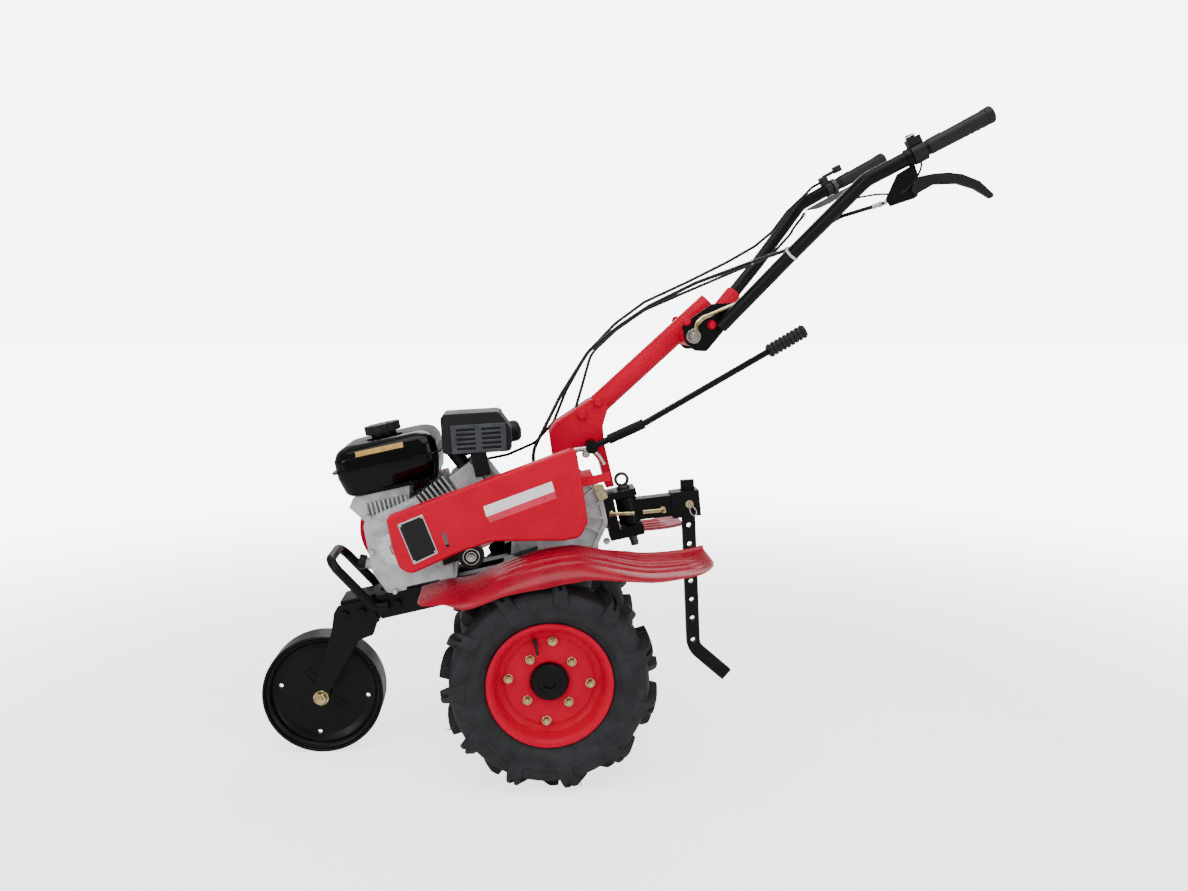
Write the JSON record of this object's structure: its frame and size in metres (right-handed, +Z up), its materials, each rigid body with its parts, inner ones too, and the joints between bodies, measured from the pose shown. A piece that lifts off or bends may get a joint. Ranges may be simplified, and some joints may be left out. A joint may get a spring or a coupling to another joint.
{
  "type": "walking tractor",
  "caption": "Petrol walking tractor with lugged drive tyres, front transport wheel, belt-driven gearbox, tilting handlebar and a rear drawbar with depth stake.",
  "frame": {"origin": "centre of the bounding box in plan, on the floor under the tyres", "axes": "+X forward in the direction of travel, +Y to the machine's left, +Z up"},
  "size_m": [1.3305, 0.5664, 1.2199],
  "materials": {
    "paint_black": "gloss",
    "paint_red": "gloss",
    "fender_red": "satin",
    "cast_aluminium": "satin",
    "zinc_plate": "satin",
    "bare_steel": "satin",
    "tyre_rubber": "matte",
    "belt_rubber": "matte",
    "grip_rubber": "matte",
    "tank_black": "gloss",
    "heat_black": "matte",
    "black_plastic": "matte",
    "cable_sheath": "satin"
  },
  "bodies": {
    "chassis": {"frame_rails": "paint_black", "front_strut": "paint_black", "lift_loop": "paint_black", "crankcase": "cast_aluminium", "cylinder": "cast_aluminium", "rocker_cover": "cast_aluminium", "fan_shroud": "paint_red", "recoil_starter": "black_plastic", "fuel_tank": "tank_black", "fuel_cap": "black_plastic", "muffler": "heat_black", "muffler_guard": "heat_black", "air_cleaner": "black_plastic", "carburettor": "cast_aluminium", "oil_fillers": "black_plastic", "crank_pulley": "cast_aluminium", "input_pulley": "bare_steel", "drive_belt": "belt_rubber", "idler_pulley": "bare_steel", "belt_cover": "paint_red", "gearbox": "cast_aluminium", "column_base": "paint_red", "handle_column": "paint_red", "shift_lever": "paint_black", "shift_grip": "grip_rubber", "fenders": "fender_red", "fender_stays": "paint_black", "hitch_block": "paint_black", "hitch_pin": "bare_steel", "front_axle": "zinc_plate", "clutch_cable": "cable_sheath", "throttle_cable": "cable_sheath", "reverse_cable": "cable_sheath"},
    "drive_wheels": {"drive_axle": "bare_steel", "wheel_hubs": "paint_black", "rims": "paint_red", "tyres": "tyre_rubber"},
    "front_wheel": {"front_wheel": "paint_black"},
    "handlebar": {"handlebar_left": "paint_black", "handlebar_right": "paint_black", "bar_sleeve": "paint_red", "clamp_lever": "zinc_plate", "grips": "grip_rubber", "clutch_bracket": "paint_black", "clutch_lever": "black_plastic", "kill_switch": "black_plastic", "throttle_control": "black_plastic", "reverse_lever": "bare_steel"},
    "drawbar": {"drawbar": "paint_black", "depth_stake": "paint_black", "stake_pin": "zinc_plate"}
  },
  "joints": [
    {"name": "axle_spin", "type": "hinge", "parent": "chassis", "child": "drive_wheels", "pos_m": [0.10222, 0, 0.2], "axis": [0, 1, 0], "continuous": true},
    {"name": "front_wheel_spin", "type": "hinge", "parent": "chassis", "child": "front_wheel", "pos_m": [0.54485, 0, 0.118], "axis": [0, 1, 0], "continuous": true},
    {"name": "handlebar_tilt", "type": "hinge", "parent": "chassis", "child": "handlebar", "pos_m": [-0.18129, 0, 0.82272], "axis": [0, 1, 0], "range_deg": [-20, 15], "deforming": ["clutch_cable", "throttle_cable", "reverse_cable"]},
    {"name": "drawbar_swing", "type": "hinge", "parent": "chassis", "child": "drawbar", "pos_m": [-0.06282, 0, 0.47644], "axis": [0.2083, 0, 0.9781], "range_deg": [-8, 8]}
  ]
}
